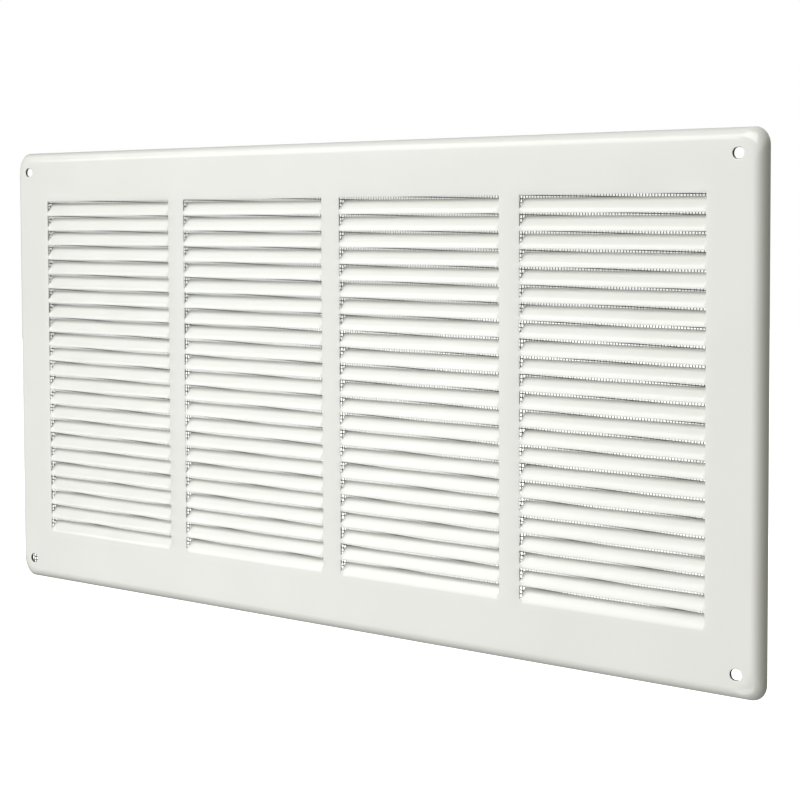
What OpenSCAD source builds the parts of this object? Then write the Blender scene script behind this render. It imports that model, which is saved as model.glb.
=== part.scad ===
// Louvred air grille: a pressed sheet-steel panel with fixed louvre blades lanced
// out of the sheet, a woven insect mesh behind it, and the adhesive that holds the mesh.
//
// Millimetres, +Z up. X runs along the panel, the face looks towards -Y, and the
// rear edge of the rim rests on the wall in the plane Y = 0. The origin is the centre
// of that rear edge, behind the middle of the panel.

/* [Panel] */
// Overall width of the panel
panel_w = 450; // [430:1:600]
// Overall height of the panel
panel_h = 200; // [190:1:400]
// Depth from the front face to the rear edge of the rim
panel_d = 4.6; // [4.6:0.1:8]
// Thickness of the sheet steel
sheet_t = 0.6; // [0.4:0.05:0.8]
// Outer radius of the rounded rim, seen in section
rim_r = 4.3; // [2:0.1:4.3]
// Outer radius of the panel's corners, seen from the front
corner_r = 6.5; // [6:0.5:14]

/* [Louvres] */
// Number of louvre columns
columns = 4; // [1:1:4]
// Number of louvre blades in each column
rows = 23; // [1:1:23]
// Length of one blade
blade_l = 91.75; // [30:0.25:91.75]
// Width of the flat bar between two columns
mullion_w = 11; // [8:0.5:14]
// Height from one blade to the next
pitch = 6.73; // [6:0.01:7]
// Height of the open gap between a blade's top edge and the blade above it
gap_h = 0.95; // [0.8:0.05:1.6]
// How far back a blade's top edge stands from the face
blade_back = 2.95; // [2:0.05:2.95]

/* [Fixing holes] */
// Distance between the fixing holes along the panel
hole_span_x = 429; // [415:1:579]
// Distance between the fixing holes up the panel
hole_span_z = 182; // [174:1:382]
// Width of a fixing slot
hole_w = 3.9; // [3:0.1:4.8]
// Length of a fixing slot, end to end, along the panel
hole_l = 5.4; // [5:0.1:7]
// How far the punched lip round a slot stands out behind the sheet
hole_lip = 0.5; // [0.2:0.1:0.8]

/* [Insect mesh] */
// Wire diameter
wire_d = 0.4; // [0.25:0.05:0.4]
// Distance from one wire to the next
wire_pitch = 1.475; // [1.2:0.025:2.5]
// Width that the mesh is cut to
mesh_w = 430; // [424:1:430]
// Height that the mesh is cut to
mesh_h = 185; // [180:1:185]
// How far the mesh sits to the right of the panel's centre (it is fitted by hand, off centre)
mesh_shift_x = -7; // [-7:0.5:7]
// How far the mesh sits above the panel's centre
mesh_shift_z = -4.5; // [-4.5:0.5:4.5]
// How far the weave is turned from the panel's edges, in degrees
mesh_skew = 1.2; // [0.2:0.1:3]
// Distance from the mesh's rear to the wall plane
mesh_inset = 0.25; // [0.1:0.05:0.25]

/* [Adhesive beads] */
// Width of a bead
bead_w = 4; // [2:0.5:5]
// Distance from the panel's outer edge to the middle of a bead
bead_inset = 19; // [18:0.5:20]
// Length of the gap left between two beads at a corner
bead_gap = 9; // [4:1:20]

/* [Hidden] */
$fn = 64;

face_y = -panel_d;                       // front surface of the flat face
back_y = face_y + sheet_t;               // rear surface of the flat face
field_w = columns * blade_l + (columns - 1) * mullion_w;
field_h = rows * pitch;
col_pitch = blade_l + mullion_w;
weft_y = -mesh_inset - wire_d / 2;       // rear layer of the mesh, wires along X
warp_y = weft_y - wire_d;                // front layer of the mesh, wires along Z
mesh_front_y = warp_y - wire_d / 2;
// the mesh is cut square to the panel but its weave is turned by mesh_skew, so each wire's
// ends are where it meets the cut; t is a wire's distance from the mesh's centre
sk = sin(mesh_skew);
ck = cos(mesh_skew);
warp_n = floor((mesh_w / 2 * ck + mesh_h / 2 * sk) / wire_pitch);
weft_n = floor((mesh_h / 2 * ck + mesh_w / 2 * sk) / wire_pitch);
function warp_ends(t) = [max((t * sk - mesh_h / 2) / ck, (-mesh_w / 2 - t * ck) / sk),
                         min((t * sk + mesh_h / 2) / ck, (mesh_w / 2 - t * ck) / sk)];
function weft_ends(t) = [max((-t * sk - mesh_w / 2) / ck, (t * ck - mesh_h / 2) / sk),
                         min((-t * sk + mesh_w / 2) / ck, (t * ck + mesh_h / 2) / sk)];

// ---- blade section --------------------------------------------------------------
// The blade leaves the face at its bottom edge almost upright, curls back over the
// lowest third and then leans on more steadily to its top edge. s goes from 0 at the
// bottom edge to 1 at the top edge; lean is the angle from the vertical, in degrees.
blade_n = 10;
blade_z1 = pitch - gap_h;                // height of the blade, bottom to top edge
function lean(s) = s < 0.33 ? 5 + s / 0.33 * 23 : s < 0.67 ? 28 + (s - 0.33) / 0.34 * 5 : 33;
function lean_sum(i) = i <= 0 ? 0 : lean_sum(i - 1) + tan(lean((i - 0.5) / blade_n));
blade_scale = blade_back / (lean_sum(blade_n) / blade_n * blade_z1);
function blade_depth(i) = lean_sum(i) / blade_n * blade_z1 * blade_scale;
// front surface, from the bottom edge up, as [y, z] over the blade's bottom edge
blade_front = [for (i = [0 : blade_n]) [face_y + blade_depth(i), i / blade_n * blade_z1]];
// rear surface: each point one sheet thickness behind the front one, square to it
function blade_slope(i) = atan2(blade_depth(min(i + 1, blade_n)) - blade_depth(max(i - 1, 0)),
                                (min(i + 1, blade_n) - max(i - 1, 0)) / blade_n * blade_z1);
blade_rear = [for (i = [blade_n : -1 : 1])
    blade_front[i] + sheet_t * [cos(blade_slope(i)), -sin(blade_slope(i))]];
// the bottom edge is cut square to the face, level with the face sheet
blade_section = concat(blade_front, blade_rear, [[back_y, 0]]);

// ---- helpers --------------------------------------------------------------------
// Rounded rectangle, centred
module rounded_rect(w, h, r) {
    square([w - 2 * r, h], center = true);
    square([w, h - 2 * r], center = true);
    for (x = [-1, 1], z = [-1, 1])
        translate([x * (w / 2 - r), z * (h / 2 - r)]) circle(r);
}

// Slot with round ends, along X, centred
module stadium(l, w) {
    square([l - w, w], center = true);
    for (x = [-1, 1]) translate([x * (l - w) / 2, 0]) circle(w / 2);
}

// A flat shape drawn over X and Z, from depth y0 back to y1
module plate(y0, y1) {
    translate([0, y1, 0]) rotate([90, 0, 0]) linear_extrude(y1 - y0) children();
}

// Section of the rounded rim: x runs outwards from the start of the bend, y is depth
module rim_section() {
    translate([0, face_y + rim_r]) intersection() {
        difference() {
            circle(rim_r);
            circle(rim_r - sheet_t);
        }
        translate([0, -rim_r - 1]) square(rim_r + 1);
    }
    if (panel_d > rim_r)
        translate([rim_r - sheet_t, face_y + rim_r]) square([sheet_t, panel_d - rim_r]);
}

// Straight length of rim along X, centred, its outer side towards +Z
module rim_straight(l) {
    translate([-l / 2, 0, 0]) rotate([90, 0, 90]) linear_extrude(l)
        mirror([1, -1]) rim_section();
}

// Quarter of the rim round one corner, in the +X +Z quadrant
module rim_corner() {
    intersection() {
        rotate([-90, 0, 0]) rotate_extrude() translate([corner_r - rim_r, 0]) rim_section();
        translate([0, face_y - 1, 0]) cube([corner_r + 1, panel_d + 2, corner_r + 1]);
    }
}

// All the blades of one column, from X = 0 to blade_l, bottom of the lowest at Z = 0
module blade_column() {
    rotate([90, 0, 90]) linear_extrude(blade_l)
        for (r = [0 : rows - 1]) translate([0, r * pitch]) polygon(blade_section);
}

// ---- sub-parts ------------------------------------------------------------------
// The pressed panel: face, rounded rim and louvre blades in one piece of sheet
module grille_panel() color([0.91, 0.92, 0.90]) {
    // flat face with one opening for each column and the four fixing slots
    plate(face_y, back_y) difference() {
        rounded_rect(panel_w - 2 * rim_r, panel_h - 2 * rim_r, corner_r - rim_r);
        for (c = [0 : columns - 1])
            translate([-field_w / 2 + c * col_pitch, -field_h / 2])
                square([blade_l, field_h]);
        for (x = [-1, 1], z = [-1, 1])
            translate([x * hole_span_x / 2, z * hole_span_z / 2]) stadium(hole_l, hole_w);
    }
    // punched lip behind each slot; it starts inside the sheet so that the two are one solid
    for (x = [-1, 1], z = [-1, 1]) translate([x * hole_span_x / 2, 0, z * hole_span_z / 2])
        plate(back_y - sheet_t / 2, back_y + hole_lip) difference() {
            stadium(hole_l + 0.7, hole_w + 0.7);
            stadium(hole_l, hole_w);
        }
    // rounded rim, four straight sides and four corners
    for (s = [0, 180]) rotate([0, s, 0]) {
        translate([0, 0, panel_h / 2 - rim_r]) rim_straight(panel_w - 2 * corner_r);
        rotate([0, 90, 0]) translate([0, 0, panel_w / 2 - rim_r])
            rim_straight(panel_h - 2 * corner_r);
    }
    for (x = [0, 1], z = [0, 1]) mirror([x, 0, 0]) mirror([0, 0, z])
        translate([panel_w / 2 - corner_r, 0, panel_h / 2 - corner_r]) rim_corner();
    // louvre blades
    for (c = [0 : columns - 1])
        translate([-field_w / 2 + c * col_pitch, 0, -field_h / 2]) blade_column();
}

// Upright wires of the insect mesh
module mesh_warp_wires() color([0.55, 0.56, 0.55])
translate([mesh_shift_x, 0, mesh_shift_z]) rotate([0, mesh_skew, 0]) {
    for (i = [-warp_n : warp_n]) {
        t = i * wire_pitch;
        e = warp_ends(t);
        if (e[1] - e[0] > 2) translate([t, warp_y, e[0]])
            cylinder(d = wire_d, h = e[1] - e[0], $fn = 16);
    }
}

// Level wires of the insect mesh, behind the upright ones
module mesh_weft_wires() color([0.55, 0.56, 0.55])
translate([mesh_shift_x, 0, mesh_shift_z]) rotate([0, mesh_skew, 0]) {
    for (i = [-weft_n : weft_n]) {
        t = i * wire_pitch;
        e = weft_ends(t);
        if (e[1] - e[0] > 2) translate([e[0], weft_y, t])
            rotate([0, 90, 0]) cylinder(d = wire_d, h = e[1] - e[0], $fn = 16);
    }
}

// Adhesive beads along the top and bottom margins, between sheet and mesh
module glue_beads_long() color([0.86, 0.84, 0.76]) {
    for (z = [-1, 1])
        plate(back_y, mesh_front_y) translate([0, z * (panel_h / 2 - bead_inset)])
            stadium(panel_w - 2 * bead_inset - bead_gap, bead_w);
}

// Adhesive beads down the left and right margins, between sheet and mesh
module glue_beads_short() color([0.86, 0.84, 0.76]) {
    for (x = [-1, 1])
        plate(back_y, mesh_front_y) translate([x * (panel_w / 2 - bead_inset), 0])
            rotate(90) stadium(panel_h - 2 * bead_inset - bead_gap, bead_w);
}

grille_panel();
mesh_warp_wires();
mesh_weft_wires();
glue_beads_long();
glue_beads_short();
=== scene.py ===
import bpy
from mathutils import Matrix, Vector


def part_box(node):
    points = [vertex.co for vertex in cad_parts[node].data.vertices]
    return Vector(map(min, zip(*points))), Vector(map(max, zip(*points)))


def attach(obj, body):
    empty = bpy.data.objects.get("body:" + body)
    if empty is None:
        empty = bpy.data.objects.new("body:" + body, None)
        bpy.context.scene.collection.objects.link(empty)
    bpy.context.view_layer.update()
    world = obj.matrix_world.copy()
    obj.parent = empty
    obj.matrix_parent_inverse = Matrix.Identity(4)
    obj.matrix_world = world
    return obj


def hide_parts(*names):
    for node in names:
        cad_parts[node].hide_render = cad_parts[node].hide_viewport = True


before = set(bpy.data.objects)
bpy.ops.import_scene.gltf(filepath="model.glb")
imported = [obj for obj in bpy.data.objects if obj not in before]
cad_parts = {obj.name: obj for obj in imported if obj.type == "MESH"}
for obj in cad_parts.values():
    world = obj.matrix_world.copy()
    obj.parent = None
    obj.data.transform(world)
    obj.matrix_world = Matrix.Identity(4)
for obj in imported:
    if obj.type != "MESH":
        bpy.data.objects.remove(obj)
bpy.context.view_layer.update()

import math
import random

import bpy
import numpy as np
from mathutils import Matrix, Vector

MM = 0.001
rng = random.Random(7)

# ---------------------------------------------------------------- sizes, in millimetres
lo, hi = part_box("grille_panel")
W = (hi.x - lo.x) / MM          # panel width
H = (hi.z - lo.z) / MM          # panel height
DEP = (hi.y - lo.y) / MM        # depth of the rim
FACE = -DEP                     # front surface
T = 0.6                         # sheet thickness
RIM = 4.3                       # rim radius, in section
R_OUT = 6.5                     # corner radius of the outline
R_IN = 9.4                      # corner radius of the flat area
COLS, ROWS = 4, 23
BL, MW, P = 91.75, 11.0, 6.73   # blade length, bar width, blade pitch
GAP, BACK = 0.95, 2.95          # open gap, set-back of a blade's top edge
ZB = P - GAP                    # blade height
ATT = 1.514                     # height over which a blade's ends stay joined to the bars
HOLE_X, HOLE_Z, HOLE_W, HOLE_L = 214.5, 91.0, 3.9, 5.4
FX = (COLS * BL + (COLS - 1) * MW) / 2   # half the louvre field
FZ = ROWS * P / 2
XF, ZF = W / 2 - RIM, H / 2 - RIM        # edge of the flat area
XC, ZC = 206.0, 82.0                     # where the corner patches start


def smooth(t):
    t = min(1.0, max(0.0, t))
    return t * t * (3 - 2 * t)


def lerp_table(x, xs, ys):
    return float(np.interp(x, xs, ys))


# ---------------------------------------------------------------- blade section
def lean(s):
    if s < 0.33:
        return 5 + s / 0.33 * 23
    if s < 0.67:
        return 28 + (s - 0.33) / 0.34 * 5
    return 33.0


_n = 200
_z = [ZB * i / _n for i in range(_n + 1)]
_d = [0.0]
for _i in range(_n):
    _d.append(_d[-1] + math.tan(math.radians(lean((_i + 0.5) / _n))) * ZB / _n)
_k = BACK / _d[-1]
_d = [v * _k for v in _d]


def blade_depth(z):
    return lerp_table(z, _z, _d)


# rolled-over cut edge: how far the surface falls back at a distance e from a cut
def roll(e, r0):
    return r0 * lerp_table(e, [0, 0.1, 0.25, 0.5], [1.0, 0.5, 0.15, 0.0])


# ---------------------------------------------------------------- panel front surface
verts, faces, refs = [], [], []
index = {}
OUT = (0.0, -1.0, 0.0)


def vert(x, y, z):
    verts.append((x, y, z))
    return len(verts) - 1


def flat(x, z, y=None):
    k = (round(x, 3), round(z, 3))
    if k not in index:
        index[k] = vert(x, FACE if y is None else y, z)
    return index[k]


def quad(a, b, c, d, ref=OUT):
    f = []
    for v in (a, b, c, d):
        if v not in f:
            f.append(v)
    if len(f) > 2:
        faces.append(f)
        refs.append(ref)


def patch(xs, zs):
    for i in range(len(xs) - 1):
        for j in range(len(zs) - 1):
            quad(flat(xs[i], zs[j]), flat(xs[i + 1], zs[j]),
                 flat(xs[i + 1], zs[j + 1]), flat(xs[i], zs[j + 1]))


S_LINES = [0, 0.15, 0.5, 1.0, ATT, 2.2, 2.9, 3.7, 4.5, 5.2, 5.6, ZB]
BAR_S = [0, 0.15, 0.5, 1.0, ATT, 2.2, 4.1, 6.2]
_half = [0, 0.1, 0.3, 0.6, 1.1, 2.2, 8, 26]
E_LINES = _half + [BL / 2] + [BL - e for e in reversed(_half)]
bar_off = [0, 0.1, 0.25, 0.5]

z_field = []
for r in range(ROWS):
    z_field += [-FZ + r * P + s for s in BAR_S]
z_field.append(FZ)

col_x0 = [-FX + c * (BL + MW) for c in range(COLS)]
bars = [[x1 + o for o in bar_off] + [x1 + MW / 2] + [x1 + MW - o for o in reversed(bar_off)]
        for x1 in [x0 + BL for x0 in col_x0[:-1]]]
side_in = [FX + o for o in bar_off] + [203.0, XC]
side_out = [XC, 209.0, 212.0, 215.0, 218.0, XF]
z_side = [-ZC, -79.6] + z_field + [79.6, ZC]
z_margin = [ZC, 85.0, 88.0, 91.0, 93.5, ZF]

for xs in bars:
    patch(xs, z_field)
for s in (-1, 1):
    patch(sorted(s * x for x in side_in + side_out[1:]), z_side)

# margins above and below the field: above, few lines are needed; below, the lowest
# blades grow out of the sheet, so the lines follow the blades
x_top, x_bot = [], []
for c, x0 in enumerate(col_x0):
    x_top += [x0 + BL * k / 4 for k in (0, 1, 2, 3, 4)]
    x_bot += [x0 + e for e in E_LINES]
    if c < COLS - 1:
        x_top += bars[c][1:-1]
        x_bot += bars[c][1:-1]
x_top = sorted(set(round(x, 4) for x in x_top))
x_bot = sorted(set(round(x, 4) for x in x_bot))
patch(x_top, [FZ, FZ + 0.15, FZ + 0.4, 79.6, ZC])
patch(x_bot, [-ZC, -79.6, -FZ])
for (zs, xl) in ((z_margin, x_top), ([-z for z in reversed(z_margin)], x_bot)):
    full = [-x for x in reversed(side_in)][:-1] + xl + side_in[1:]
    patch(full, zs)

# the top margin's two extra edge lines end on the side margin's edge, since z_side holds FZ and 79.6 only


# corner patches, each round one fixing slot
def stadium_point(a):
    c, s = math.cos(a), math.sin(a)
    h, r = (HOLE_L - HOLE_W) / 2, HOLE_W / 2
    if abs(s) > 1e-9 and abs(r / abs(s) * c) <= h:
        t = r / abs(s)
        return t * c, t * s
    sg = 1 if c >= 0 else -1
    b = h * sg * c
    t = b + math.sqrt(max(0, b * b - (h * h - r * r)))
    return t * c, t * s


ARC_N = 14
arc_pts = [(XF - R_IN + R_IN * math.cos(a), ZF - R_IN + R_IN * math.sin(a))
           for a in [math.pi / 2 * k / ARC_N for k in range(ARC_N + 1)]]
outer_loop = ([(x, ZC) for x in side_out[:-1]] + [(XF, ZC), (XF, (ZC + ZF - R_IN) / 2)] + arc_pts
              + [((XC + XF - R_IN) / 2, ZF)] + [(XC, z) for z in reversed(z_margin[1:])])
RINGS = [(0.0, 0.07), (0.08, 0.025), (0.25, 0.004), (0.55, 0.0)]
n_loop = len(outer_loop)
th = [math.atan2(z - HOLE_Z, x - HOLE_X) for x, z in outer_loop]
for k in range(1, n_loop):
    while th[k] < th[k - 1]:
        th[k] += 2 * math.pi
mean_off = sum(th[k] - 2 * math.pi * k / n_loop for k in range(n_loop)) / n_loop
th = [0.45 * th[k] + 0.55 * (2 * math.pi * k / n_loop + mean_off) for k in range(n_loop)]
for sx in (-1, 1):
    for sz in (-1, 1):
        rows_ = []
        hole = [stadium_point(a) for a in th]
        hole = [(HOLE_X + p[0], HOLE_Z + p[1]) for p in hole]
        for e, y in RINGS:
            ring = []
            for (hx, hz), (ox, oz) in zip(hole, outer_loop):
                cx, cz = hx - HOLE_X, hz - HOLE_Z
                L = math.hypot(cx, cz)
                ring.append(vert(sx * (hx + cx / L * e), FACE + y, sz * (hz + cz / L * e)))
            rows_.append(ring)
        mid = []
        for (hx, hz), (ox, oz) in zip(hole, outer_loop):
            L = math.hypot(hx - HOLE_X, hz - HOLE_Z)
            bx, bz = hx + (hx - HOLE_X) / L * 0.55, hz + (hz - HOLE_Z) / L * 0.55
            mid.append(vert(sx * (bx * 0.6 + ox * 0.4), FACE, sz * (bz * 0.6 + oz * 0.4)))
        rows_.append(mid)
        rows_.append([flat(sx * ox, sz * oz) for ox, oz in outer_loop])
        for a, b in zip(rows_[:-1], rows_[1:]):
            for k in range(n_loop):
                m = (k + 1) % n_loop
                quad(a[k], a[m], b[m], b[k])

# ---------------------------------------------------------------- rim
THETA = [2, 8, 16, 25, 34, 43, 52, 62, 72, 82, 90]


def chain_quadrant():
    """Edge of the flat area in the +X +Z quadrant, from the X axis side up and round to
    the Z axis side, as (inner point, outer point)."""
    out = []
    for k in range(len(arc_pts)):
        a = math.pi / 2 * k / ARC_N
        out.append((arc_pts[k], (W / 2 - R_OUT + R_OUT * math.cos(a), H / 2 - R_OUT + R_OUT * math.sin(a))))
    return out


def outer_of_side(z):
    """On an upright side: the outer point for an inner one at height z."""
    a, b = ZC, ZF - R_IN
    s = 1 if z >= 0 else -1
    z = abs(z)
    return s * (z if z <= a else a + (z - a) * (H / 2 - R_OUT - a) / (b - a))


def outer_of_top(x):
    a, b = XC, XF - R_IN
    s = 1 if x >= 0 else -1
    x = abs(x)
    return s * (x if x <= a else a + (x - a) * (W / 2 - R_OUT - a) / (b - a))


perim = []
mid_z = (ZC + ZF - R_IN) / 2
mid_x = (XC + XF - R_IN) / 2
arc = chain_quadrant()
right_z = [-mid_z] + z_side + [mid_z]
top_full = [-mid_x] + [-x for x in reversed(side_in)][:-1] + x_top + side_in[1:] + [mid_x]
bot_full = [-mid_x] + [-x for x in reversed(side_in)][:-1] + x_bot + side_in[1:] + [mid_x]
for z in right_z:
    perim.append(((XF, z), (XF + RIM, outer_of_side(z))))
perim += arc
for x in reversed(top_full):
    perim.append(((x, ZF), (outer_of_top(x), ZF + RIM)))
perim += [((-i[0], i[1]), (-o[0], o[1])) for i, o in reversed(arc)]
for z in reversed(right_z):
    perim.append(((-XF, z), (-XF - RIM, outer_of_side(z))))
perim += [((-i[0], -i[1]), (-o[0], -o[1])) for i, o in arc]
for x in bot_full:
    perim.append(((x, -ZF), (outer_of_top(x), -ZF - RIM)))
perim += [((i[0], -i[1]), (o[0], -o[1])) for i, o in reversed(arc)]

rim_rows = [[flat(i[0], i[1]) for i, o in perim]]
for t in THETA:
    s, c = math.sin(math.radians(t)), math.cos(math.radians(t))
    rim_rows.append([vert(i[0] + (o[0] - i[0]) * s, FACE + RIM * (1 - c), i[1] + (o[1] - i[1]) * s)
                     for i, o in perim])
rim_rows.append([vert(o[0], 0.0, o[1]) for i, o in perim])
for a, b in zip(rim_rows[:-1], rim_rows[1:]):
    for k in range(len(perim)):
        m = (k + 1) % len(perim)
        i, o = perim[k]
        quad(a[k], a[m], b[m], b[k], (o[0] - i[0], -2.0, o[1] - i[1]))

# ---------------------------------------------------------------- blades
for c, x0 in enumerate(col_x0):
    for r in range(ROWS):
        zb = -FZ + r * P
        d_gain = rng.uniform(-0.04, 0.02)         # each blade is pressed a little differently
        bow = rng.uniform(-0.03, 0.02)
        lift = rng.uniform(-0.02, 0.02)
        skew = rng.uniform(-0.02, 0.02)
        grid = []
        for e in E_LINES:
            ed = min(e, BL - e)
            side = 1 if e < BL / 2 else -1
            t_mid = 1 - (2 * e / BL - 1) ** 2
            round_ = 0.95 - math.sqrt(max(0.0, 0.95 ** 2 - (0.95 - ed) ** 2)) if ed < 0.95 else 0.0
            ztop = ZB - round_ * 0.9 + (lift * t_mid + skew * (2 * e / BL - 1)) * 0.8
            col = []
            for j, s in enumerate(S_LINES):
                z = s if s <= ATT else ATT + (s - ATT) * (ztop - ATT) / (ZB - ATT)
                f_edge = smooth((z - ATT) / 1.1)
                f = 1 - (1 - f_edge) * (1 - smooth(ed / 1.25))
                dep = blade_depth(min(z, ZB)) * f
                dep += (d_gain + bow * t_mid) * (z / ZB) ** 1.5 * f
                if r > 0 or s > 0:
                    dep += roll(s, 0.10) if r > 0 else 0.0
                x = x0 + e
                if z > ATT:
                    x += side * 0.09 * min(1.0, (z - ATT) / 0.5) * (1 - smooth(ed / 0.8))
                if ed == 0 and s <= ATT + 1e-6:
                    col.append(flat(x0 + e, zb + s))
                elif r == 0 and j == 0:
                    col.append(flat(x0 + e, zb))
                else:
                    col.append(vert(x, FACE + dep, zb + z))
            grid.append(col)
        for i in range(len(E_LINES) - 1):
            for j in range(len(S_LINES) - 1):
                quad(grid[i][j], grid[i + 1][j], grid[i + 1][j + 1], grid[i][j + 1])

# rolled edges on the bars and side margins, beside the slots
edges_x = sorted([x0 for x0 in col_x0] + [x0 + BL for x0 in col_x0])
for (x, z), v in index.items():
    y = verts[v][1]
    add = 0.0
    if -FZ - 0.01 <= z <= FZ + 0.5:
        e = min(abs(x - q) for q in edges_x)
        inside = any(x0 + 0.01 < x < x0 + BL - 0.01 for x0 in col_x0)
        rel = (z + FZ) % P
        if rel > P - 1e-3:
            rel = 0.0
        if e < 0.5 and not inside and z <= FZ + 0.01:
            k = smooth((rel - ATT) / 0.9) if rel > ATT else 0.0
            if rel < 0.2 and z > -FZ + 0.1:
                k = 0.45 if rel < 0.05 else 0.15
            add = roll(e, 0.22) * k
        if z >= FZ - 0.01 and (inside or e < 0.01) and z < FZ + 0.5:
            add = max(add, roll(z - FZ, 0.12))
    if add:
        verts[v] = (verts[v][0], y + add, verts[v][2])

mesh = bpy.data.meshes.new("panel_sheet")
V = np.array(verts)
fixed = []
for f, ref in zip(faces, refs):
    p = V[f]
    nrm = np.cross(p[2] - p[0], p[3 % len(f)] - p[1]) if len(f) == 4 else np.cross(p[1] - p[0], p[2] - p[0])
    fixed.append(f if float(np.dot(nrm, ref)) > 0 else list(reversed(f)))
mesh.from_pydata([(a * MM, b * MM, c * MM) for a, b, c in verts], [], fixed)
mesh.validate()
panel = bpy.data.objects.new("pressed_panel", mesh)
bpy.context.scene.collection.objects.link(panel)
solid = panel.modifiers.new("sheet", "SOLIDIFY")
solid.thickness = T * MM
solid.offset = -1
solid.use_even_offset = True
solid.use_quality_normals = True
solid.thickness_clamp = 0
bev = panel.modifiers.new("edge", "BEVEL")
bev.width = 0.08 * MM
bev.segments = 1
bev.limit_method = "ANGLE"
bev.angle_limit = math.radians(55)
bev.use_clamp_overlap = True
bev.harden_normals = True
for p in mesh.polygons:
    p.use_smooth = True
dg = bpy.context.evaluated_depsgraph_get()
final = bpy.data.meshes.new_from_object(panel.evaluated_get(dg))
panel.modifiers.clear()
panel.data = final
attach(panel, "root")
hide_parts("grille_panel")

# ---------------------------------------------------------------- punched lips behind the slots
LIP, LIP_T = 0.5, 0.35
lip_v, lip_f = [], []
for sx in (-1, 1):
    for sz in (-1, 1):
        g = random.Random(10 + sx + 2 * sz)
        ph = [g.uniform(0, 6.28) for _ in range(3)]
        n_, base = 56, len(lip_v)
        for k in range(n_):
            a = 2 * math.pi * k / n_
            px, pz = stadium_point(a)
            L = math.hypot(px, pz)
            ux, uz = px / L, pz / L
            # the torn edge of the lip is a little uneven
            rear = FACE + T + LIP - 0.03 - 0.05 * (1 + math.sin(3 * a + ph[0])) - 0.03 * (1 + math.sin(7 * a + ph[1]))
            for e, y in ((-0.015, FACE + 0.12), (-0.015, rear - 0.05), (0.07, rear), (LIP_T - 0.1, rear), (LIP_T, rear - 0.1), (LIP_T, FACE + T - 0.2)):
                lip_v.append((sx * (HOLE_X + px + ux * e) * MM, y * MM, sz * (HOLE_Z + pz + uz * e) * MM))
        for k in range(n_):
            for j in range(6):
                a0, a1 = base + k * 6 + j, base + k * 6 + (j + 1) % 6
                b0, b1 = base + ((k + 1) % n_) * 6 + j, base + ((k + 1) % n_) * 6 + (j + 1) % 6
                lip_f.append((a0, a1, b1, b0))
lip_me = bpy.data.meshes.new("slot_lips")
lip_me.from_pydata(lip_v, [], lip_f)
lip_me.validate()
import bmesh
_bm = bmesh.new()
_bm.from_mesh(lip_me)
bmesh.ops.recalc_face_normals(_bm, faces=_bm.faces)
_bm.to_mesh(lip_me)
_bm.free()
lips = bpy.data.objects.new("slot_lips", lip_me)
bpy.context.scene.collection.objects.link(lips)
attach(lips, "root")
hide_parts("grille_panel")

# ---------------------------------------------------------------- woven insect mesh
WD, WP = 0.4, 1.475
MESH_W, MESH_H = 430.0, 185.0
SHIFT_X, SHIFT_Z = -7.0, -4.5     # the mesh sits a little off centre
SKEW = math.radians(1.2)
Y_MID = -0.65
AMP = 0.2
PH_WARP, PH_WEFT = -0.471, 0.284     # where the first wire falls, from the mesh's centre
sk, ck = math.sin(SKEW), math.cos(SKEW)
SIDES = 6
ring = np.array([(math.cos(2 * math.pi * k / SIDES), math.sin(2 * math.pi * k / SIDES)) for k in range(SIDES)])


def span(t, along_x):
    """Where a wire at distance t from the centre meets the square-cut edges of the mesh."""
    if along_x:   # point (s, t) -> x = s ck + t sk, z = -s sk + t ck
        a = [(-MESH_W / 2 - t * sk) / ck, (MESH_W / 2 - t * sk) / ck]
        b = [(t * ck - MESH_H / 2) / sk, (t * ck + MESH_H / 2) / sk]
    else:         # point (t, s)
        a = [(-MESH_H / 2 + t * sk) / ck, (MESH_H / 2 + t * sk) / ck]
        b = [(-MESH_W / 2 - t * ck) / sk, (MESH_W / 2 - t * ck) / sk]
    return max(min(a), min(b)), min(max(a), max(b))


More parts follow.
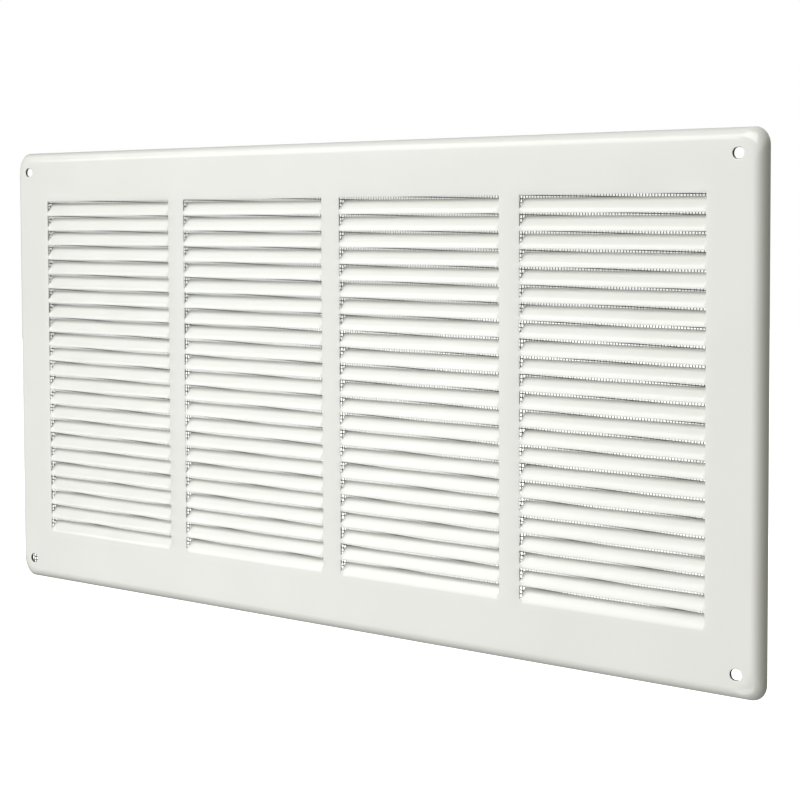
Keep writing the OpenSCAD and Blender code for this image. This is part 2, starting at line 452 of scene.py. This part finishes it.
def wires(ids, along_x):
    vs, fs = [], []
    base = 0
    for n in ids:
        t = n * WP + (PH_WEFT if along_x else PH_WARP)
        s0, s1 = span(t, along_x)
        s0 -= rng.uniform(0.0, 0.5)
        s1 += rng.uniform(0.0, 0.5)
        if s1 - s0 < 3:
            continue
        off = PH_WARP if along_x else PH_WEFT
        k0, k1 = math.ceil((s0 - off) / WP), math.floor((s1 - off) / WP)
        ks = np.arange(k0, k1 + 1)
        sgn = np.where((ks + n) % 2 == 0, 1.0, -1.0) * (1 if along_x else -1)
        s = np.concatenate([[s0], ks * WP + off, [s1]])
        y = np.concatenate([[Y_MID], Y_MID + AMP * sgn, [Y_MID]])
        # wires don't lie perfectly evenly
        tt = t + 0.05 * math.sin(n * 1.7) + 0.04 * np.sin(s / 37.0 + n * 0.9)
        m = len(s)
        rad = WD / 2
        # ring points: one direction across the wire in the mesh plane, the other in depth
        a = tt[:, None] + rad * ring[None, :, 0]
        b = y[:, None] + rad * ring[None, :, 1]
        ss = np.repeat(s[:, None], SIDES, 1)
        if along_x:
            X = ss * ck + a * sk + SHIFT_X
            Z = -ss * sk + a * ck + SHIFT_Z
        else:
            X = a * ck + ss * sk + SHIFT_X
            Z = -a * sk + ss * ck + SHIFT_Z
        vs.append(np.stack([X, b, Z], -1).reshape(-1, 3))
        idx = base + np.arange(m * SIDES).reshape(m, SIDES)
        nxt = np.roll(idx, -1, 1)
        q = np.stack([idx[:-1], nxt[:-1], nxt[1:], idx[1:]], -1).reshape(-1, 4)
        if along_x:
            q = q[:, ::-1]
        fs.append((q, idx[0], idx[-1], along_x))
        base += m * SIDES
    co = np.concatenate(vs) * MM
    quads_ = np.concatenate([f[0] for f in fs])
    caps = []
    for q, first, last, ax in fs:
        caps.append(list(first if ax else first[::-1])[::-1] if not ax else list(first))
        caps.append(list(last)[::-1] if ax else list(last))
    me = bpy.data.meshes.new("wires")
    nq = len(quads_)
    loops = np.concatenate([quads_.ravel(), np.array(caps).ravel()])
    starts = np.concatenate([np.arange(nq) * 4, nq * 4 + np.arange(len(caps)) * SIDES])
    totals = np.concatenate([np.full(nq, 4), np.full(len(caps), SIDES)])
    me.vertices.add(len(co))
    me.vertices.foreach_set("co", co.astype(np.float32).ravel())
    me.loops.add(len(loops))
    me.loops.foreach_set("vertex_index", loops.astype(np.int32))
    me.polygons.add(len(starts))
    me.polygons.foreach_set("loop_start", starts.astype(np.int32))
    me.polygons.foreach_set("loop_total", totals.astype(np.int32))
    me.polygons.foreach_set("use_smooth", np.ones(len(starts), bool))
    me.update(calc_edges=True)
    me.validate()
    return me


def put(name, me, node):
    o = bpy.data.objects.new(name, me)
    bpy.context.scene.collection.objects.link(o)
    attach(o, "root")
    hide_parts(node)
    return o


wn = int((MESH_W / 2 * ck + MESH_H / 2 * sk) / WP)
en = int((MESH_H / 2 * ck + MESH_W / 2 * sk) / WP)
warp_ids = list(range(-wn, wn + 1))
weft_ids = list(range(-en, en + 1))
wire_objs = []
for k, name in enumerate(["left", "middle", "right"]):
    a, b = len(warp_ids) * k // 3, len(warp_ids) * (k + 1) // 3
    wire_objs.append(put("mesh_upright_wires_" + name, wires(warp_ids[a:b], False), "mesh_warp_wires"))
for k, name in enumerate(["lower", "middle", "upper"]):
    a, b = len(weft_ids) * k // 3, len(weft_ids) * (k + 1) // 3
    wire_objs.append(put("mesh_level_wires_" + name, wires(weft_ids[a:b], True), "mesh_weft_wires"))


# ---------------------------------------------------------------- hot-melt adhesive beads
def bead(name, node, p0, p1, seed):
    g = random.Random(seed)
    ph = [g.uniform(0, 6.28) for _ in range(8)]
    L = math.hypot(p1[0] - p0[0], p1[1] - p0[1])
    ux, uz = (p1[0] - p0[0]) / L, (p1[1] - p0[1]) / L
    n = int(L / 1.1)
    K = 14
    vs, fs = [], []
    for i in range(n + 1):
        s = L * i / n
        end = min(s, L - s)
        k = math.sqrt(max(0.0, 1 - (1 - min(1.0, end / 2.6)) ** 2))
        k = max(k, 0.04)
        w = (2.1 + 0.28 * math.sin(s / 7.3 + ph[0]) + 0.2 * math.sin(s / 3.1 + ph[1]) + 0.12 * math.sin(s / 1.7 + ph[2])) * k
        top = -0.62 + 0.13 * math.sin(s / 9.7 + ph[3]) + 0.1 * math.sin(s / 2.6 + ph[4])
        y0 = FACE + T - 0.02
        ht = (top - y0) * (0.35 + 0.65 * k)
        side = 0.3 * math.sin(s / 31 + ph[5]) + 0.15 * math.sin(s / 8 + ph[6])
        for j in range(K):
            a = 2 * math.pi * j / K
            ca, sa = math.cos(a), math.sin(a)
            # squashed onto the sheet at the bottom, domed towards the wall
            cx = w * (abs(ca) ** 0.8) * (1 if ca >= 0 else -1) * (1.0 - 0.12 * max(0, sa))
            cy = y0 + ht * (0.5 + 0.5 * (abs(sa) ** 0.75) * (1 if sa >= 0 else -1))
            cx += side
            vs.append(((p0[0] + ux * s - uz * cx) * MM, cy * MM, (p0[1] + uz * s + ux * cx) * MM))
    for i in range(n):
        for j in range(K):
            m = (j + 1) % K
            fs.append((i * K + j, i * K + m, (i + 1) * K + m, (i + 1) * K + j))
    fs.append(tuple(reversed(range(K))))
    fs.append(tuple(n * K + j for j in range(K)))
    me = bpy.data.meshes.new(name)
    me.from_pydata(vs, [], fs)
    me.validate()
    import bmesh
    bm = bmesh.new()
    bm.from_mesh(me)
    bmesh.ops.recalc_face_normals(bm, faces=bm.faces)
    bm.to_mesh(me)
    bm.free()
    for p in me.polygons:
        p.use_smooth = True
    return put(name, me, node)


BI = 19.0
beads = [
    bead("adhesive_bead_top", "glue_beads_long", (-201.4, H / 2 - BI), (201.4, H / 2 - BI), 1),
    bead("adhesive_bead_bottom", "glue_beads_long", (-201.4, -H / 2 + BI), (201.4, -H / 2 + BI), 2),
    bead("adhesive_bead_left", "glue_beads_short", (-W / 2 + BI, -76.4), (-W / 2 + BI, 76.4), 3),
    bead("adhesive_bead_right", "glue_beads_short", (W / 2 - BI, -76.4), (W / 2 - BI, 76.4), 4),
]


# ---------------------------------------------------------------- materials
def new_mat(name):
    m = bpy.data.materials.new(name)
    m.use_nodes = True
    nt = m.node_tree
    nt.nodes.clear()
    out = nt.nodes.new("ShaderNodeOutputMaterial")
    b = nt.nodes.new("ShaderNodeBsdfPrincipled")
    nt.links.new(b.outputs[0], out.inputs[0])
    return m, nt, b


def noise(nt, scale, detail=2.0, rough=0.5, vec=None):
    n = nt.nodes.new("ShaderNodeTexNoise")
    n.inputs["Scale"].default_value = scale
    n.inputs["Detail"].default_value = detail
    n.inputs["Roughness"].default_value = rough
    if vec is not None:
        nt.links.new(vec, n.inputs["Vector"])
    return n


def maprange(nt, src, a, b, lo_, hi_):
    n = nt.nodes.new("ShaderNodeMapRange")
    n.inputs["From Min"].default_value = a
    n.inputs["From Max"].default_value = b
    n.inputs["To Min"].default_value = lo_
    n.inputs["To Max"].default_value = hi_
    nt.links.new(src, n.inputs["Value"])
    return n


def mixcol(nt, fac, a, b):
    n = nt.nodes.new("ShaderNodeMix")
    n.data_type = "RGBA"
    n.inputs[6].default_value = (*a, 1)
    n.inputs[7].default_value = (*b, 1)
    nt.links.new(fac, n.inputs[0])
    return n


def powder_coat():
    m, nt, b = new_mat("white_powder_coat")
    geo = nt.nodes.new("ShaderNodeTexCoord")
    o = geo.outputs["Object"]
    # faint mottling of the coat, and a slightly creamier film where it lies thick
    big = noise(nt, 22.0, 3.0, 0.55, o)
    f = maprange(nt, big.outputs["Fac"], 0.3, 0.7, 0.0, 1.0)
    c = mixcol(nt, f.outputs[0], (0.850, 0.862, 0.815), (0.872, 0.882, 0.842))
    nt.links.new(c.outputs[2], b.inputs["Base Color"])
    r = noise(nt, 60.0, 3.0, 0.5, o)
    rr = maprange(nt, r.outputs["Fac"], 0.3, 0.7, 0.10, 0.15)
    nt.links.new(rr.outputs[0], b.inputs["Roughness"])
    b.inputs["IOR"].default_value = 1.5
    # orange peel, and the slow waviness of thin pressed sheet
    peel = noise(nt, 420.0, 1.0, 0.4, o)
    wave = noise(nt, 30.0, 1.0, 0.4, o)
    b1 = nt.nodes.new("ShaderNodeBump")
    b1.inputs["Strength"].default_value = 0.10
    b1.inputs["Distance"].default_value = 0.0001
    nt.links.new(peel.outputs["Fac"], b1.inputs["Height"])
    b2 = nt.nodes.new("ShaderNodeBump")
    b2.inputs["Strength"].default_value = 0.30
    b2.inputs["Distance"].default_value = 0.0010
    nt.links.new(wave.outputs["Fac"], b2.inputs["Height"])
    nt.links.new(b1.outputs[0], b2.inputs["Normal"])
    nt.links.new(b2.outputs[0], b.inputs["Normal"])
    return m


def wire_metal():
    m, nt, b = new_mat("mesh_wire")
    geo = nt.nodes.new("ShaderNodeTexCoord")
    o = geo.outputs["Object"]
    n = noise(nt, 160.0, 4.0, 0.6, o)
    f = maprange(nt, n.outputs["Fac"], 0.35, 0.65, 0.0, 1.0)
    c = mixcol(nt, f.outputs[0], (0.28, 0.28, 0.27), (0.40, 0.40, 0.385))
    nt.links.new(c.outputs[2], b.inputs["Base Color"])
    n2 = noise(nt, 900.0, 3.0, 0.6, o)
    rr = maprange(nt, n2.outputs["Fac"], 0.3, 0.7, 0.28, 0.48)
    nt.links.new(rr.outputs[0], b.inputs["Roughness"])
    b.inputs["Metallic"].default_value = 0.85
    bp = nt.nodes.new("ShaderNodeBump")
    bp.inputs["Strength"].default_value = 0.25
    bp.inputs["Distance"].default_value = 0.00005
    nt.links.new(n2.outputs["Fac"], bp.inputs["Height"])
    nt.links.new(bp.outputs[0], b.inputs["Normal"])
    return m


def hot_melt():
    m, nt, b = new_mat("adhesive")
    geo = nt.nodes.new("ShaderNodeTexCoord")
    o = geo.outputs["Object"]
    n = noise(nt, 90.0, 4.0, 0.6, o)
    f = maprange(nt, n.outputs["Fac"], 0.3, 0.7, 0.0, 1.0)
    c = mixcol(nt, f.outputs[0], (0.70, 0.64, 0.48), (0.82, 0.78, 0.66))
    nt.links.new(c.outputs[2], b.inputs["Base Color"])
    n2 = noise(nt, 380.0, 3.0, 0.55, o)
    rr = maprange(nt, n2.outputs["Fac"], 0.3, 0.7, 0.22, 0.42)
    nt.links.new(rr.outputs[0], b.inputs["Roughness"])
    b.inputs["IOR"].default_value = 1.48
    b.inputs["Subsurface Weight"].default_value = 0.35
    b.inputs["Subsurface Radius"].default_value = (0.0016, 0.0012, 0.0008)
    b.inputs["Subsurface Scale"].default_value = 1.0
    bp = nt.nodes.new("ShaderNodeBump")
    bp.inputs["Strength"].default_value = 0.3
    bp.inputs["Distance"].default_value = 0.0003
    nt.links.new(n2.outputs["Fac"], bp.inputs["Height"])
    nt.links.new(bp.outputs[0], b.inputs["Normal"])
    return m


def hole_wall_painted_shade():
    """Painted shade: the walls of the punched slots and the lips behind them, coloured near-black for the shade
    inside the holes.
    """
    m, nt, b = new_mat("hole_wall_painted_shade")
    geo = nt.nodes.new("ShaderNodeTexCoord")
    n = noise(nt, 700.0, 3.0, 0.6, geo.outputs["Object"])
    f = maprange(nt, n.outputs["Fac"], 0.3, 0.7, 0.0, 1.0)
    c = mixcol(nt, f.outputs[0], (0.035, 0.035, 0.032), (0.11, 0.11, 0.10))
    nt.links.new(c.outputs[2], b.inputs["Base Color"])
    rr = maprange(nt, n.outputs["Fac"], 0.3, 0.7, 0.45, 0.7)
    nt.links.new(rr.outputs[0], b.inputs["Roughness"])
    return m


coat, wire, glue, punched = powder_coat(), wire_metal(), hot_melt(), hole_wall_painted_shade()
panel.data.materials.clear()
panel.data.materials.append(coat)
# second material: near-black painted shade for the punched hole walls
panel.data.materials.append(punched)
# the lips behind the holes get the same near-black painted shade
lips.data.materials.clear()
lips.data.materials.append(punched)
# pick the hole-wall faces that get the near-black painted shade
for q in panel.data.polygons:
    if abs(q.normal.y) < 0.93:
        hx, hz = abs(q.center.x) / MM - HOLE_X, abs(q.center.z) / MM - HOLE_Z
        if math.hypot(max(0.0, abs(hx) - (HOLE_L - HOLE_W) / 2), hz) < HOLE_W / 2 + 0.13:
            q.material_index = 1
for o in wire_objs:
    o.data.materials.append(wire)
for o in beads:
    o.data.materials.append(glue)
for name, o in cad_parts.items():
    o.data.materials.clear()
    o.data.materials.append(wire if name.startswith("mesh") else glue if name.startswith("glue") else coat)

# ---------------------------------------------------------------- studio
scene = bpy.context.scene
fm = bpy.data.meshes.new("floor")
S = 8.0
fm.from_pydata([(-S, -S, -0.42), (S, -S, -0.42), (S, S, -0.42), (-S, S, -0.42)], [], [(0, 1, 2, 3)])
floor = bpy.data.objects.new("floor", fm)
scene.collection.objects.link(floor)
mf, nt, b = new_mat("floor_white")
b.inputs["Base Color"].default_value = (0.9, 0.9, 0.9, 1)
b.inputs["Roughness"].default_value = 0.9
b.inputs["Emission Color"].default_value = (1, 1, 1, 1)
b.inputs["Emission Strength"].default_value = 1.0
fm.materials.append(mf)
floor.visible_diffuse = False
floor.visible_glossy = False
floor.visible_transmission = False
floor.visible_shadow = False

world = bpy.data.worlds.new("studio")
scene.world = world
world.use_nodes = True
nt = world.node_tree
nt.nodes.clear()
wo = nt.nodes.new("ShaderNodeOutputWorld")
bg_cam = nt.nodes.new("ShaderNodeBackground")
bg_cam.inputs[0].default_value = (1, 1, 1, 1)
bg_cam.inputs[1].default_value = 1.0
bg = nt.nodes.new("ShaderNodeBackground")
lp = nt.nodes.new("ShaderNodeLightPath")
mix = nt.nodes.new("ShaderNodeMixShader")
tc = nt.nodes.new("ShaderNodeTexCoord")
sep = nt.nodes.new("ShaderNodeSeparateXYZ")
nt.links.new(tc.outputs["Generated"], sep.inputs[0])


def ramp(src, stops):
    """A colour ramp over a direction component that runs from -1 to 1."""
    mr = nt.nodes.new("ShaderNodeMapRange")
    mr.inputs["From Min"].default_value = -1
    mr.inputs["From Max"].default_value = 1
    nt.links.new(src, mr.inputs["Value"])
    r = nt.nodes.new("ShaderNodeValToRGB")
    el = r.color_ramp.elements
    for k, (c, col) in enumerate(stops):
        pos = (c + 1) / 2
        if k == 0:
            q = el[0]
            q.position = pos
        elif k == len(stops) - 1:
            q = el[len(el) - 1]
            q.position = pos
        else:
            q = el.new(pos)
        q.color = (*(col if isinstance(col, tuple) else (col, col, col)), 1)
    nt.links.new(mr.outputs[0], r.inputs[0])
    return r.outputs[0]


def blend(kind, a_, b_):
    n = nt.nodes.new("ShaderNodeMix")
    n.data_type = "RGBA"
    n.blend_type = kind
    n.inputs[0].default_value = 1.0
    nt.links.new(a_, n.inputs[6])
    nt.links.new(b_, n.inputs[7])
    return n.outputs[2]


# the room: darker behind, above and below the panel, warm grey to its right
room = blend("MULTIPLY",
             ramp(sep.outputs[0], [(-1, 0.04), (-0.86, 0.08), (-0.76, 0.38), (0.0, (0.50, 0.50, 0.48)), (0.5, (0.26, 0.26, 0.235)), (1, (0.15, 0.148, 0.118))]),
             ramp(sep.outputs[2], [(-1, 0.2), (-0.56, 0.85), (0.0, 1.0), (0.5, 1.0), (1, 0.75)]))
# a soft-edged reflector to the left, which the face mirrors most strongly left of centre
sheen = blend("MULTIPLY",
              ramp(sep.outputs[0], [(-0.823, 0), (-0.79, 1.1), (-0.752, 0.8), (-0.704, 0.65), (-0.675, 0.15), (-0.64, 0)]),
              ramp(sep.outputs[2], [(-0.32, 0), (-0.15, 0.9), (0.2, 0.9), (0.45, 1.0), (0.6, 1.0), (0.67, 0)]))
high = blend("MULTIPLY",
             ramp(sep.outputs[0], [(-0.86, 0), (-0.8, 0.5), (-0.6, 0.8), (-0.5, 0)]),
             ramp(sep.outputs[2], [(0.38, 0), (0.47, 1.0), (0.6, 1.0), (0.64, 0)]))
sheen = blend("ADD", sheen, high)
sheen = blend("MULTIPLY", sheen, ramp(sep.outputs[1], [(-1, 1), (-0.22, 1), (-0.05, 0), (1, 0)]))
nt.links.new(blend("ADD", room, sheen), bg.inputs[0])
bg.inputs[1].default_value = 1.0
nt.links.new(lp.outputs["Is Camera Ray"], mix.inputs[0])
nt.links.new(bg.outputs[0], mix.inputs[1])
nt.links.new(bg_cam.outputs[0], mix.inputs[2])
nt.links.new(mix.outputs[0], wo.inputs[0])


def area(name, az, el, dist, w, h, radiance, color=(1, 1, 1)):
    """A soft box seen from the panel at azimuth az (degrees from the face's normal, towards
    +X) and elevation el. Its strength is given as the radiance of its surface."""
    a, t = math.radians(az), math.radians(el)
    d = Vector((math.sin(a) * math.cos(t), -math.cos(a) * math.cos(t), math.sin(t)))
    ld = bpy.data.lights.new(name, "AREA")
    ld.shape = "RECTANGLE"
    ld.size, ld.size_y = w, h
    ld.energy = radiance * math.pi * w * h
    ld.color = color
    o = bpy.data.objects.new(name, ld)
    o.location = d * dist
    o.rotation_mode = "QUATERNION"
    o.rotation_quaternion = d.to_track_quat("Z", "Y")
    scene.collection.objects.link(o)
    return o


area("softbox_side", -46.5, 20.5, 3.0, 1.30, 1.68, 2.3)
area("softbox_key", -14.0, 39.0, 4.6, 2.9, 2.6, 4.72)
area("fill_low", -18.0, -42.0, 2.8, 1.87, 1.05, 2.4)
area("fill_back", 172.0, 24.0, 2.8, 1.7, 1.3, 2.6)

cam_d = bpy.data.cameras.new("camera")
cam_d.sensor_width = 36.0
cam_d.lens = 2523.56 / 800 * 36.0
cam_d.clip_start = 0.01
cam_d.clip_end = 100
cam = bpy.data.objects.new("camera", cam_d)
right = Vector((0.67805163, 0.73500346, -0.00398723))
up = Vector((-0.04989447, 0.05143922, 0.99742897))
fwd = Vector((-0.73331884, 0.67610940, -0.07155105))
m = Matrix(((right.x, up.x, -fwd.x, 0.7777506), (right.y, up.y, -fwd.y, -0.6831589),
            (right.z, up.z, -fwd.z, 0.0686672), (0, 0, 0, 1)))
cam.matrix_world = m
scene.collection.objects.link(cam)
scene.camera = cam
scene.view_settings.view_transform = "Standard"
scene.view_settings.look = "None"
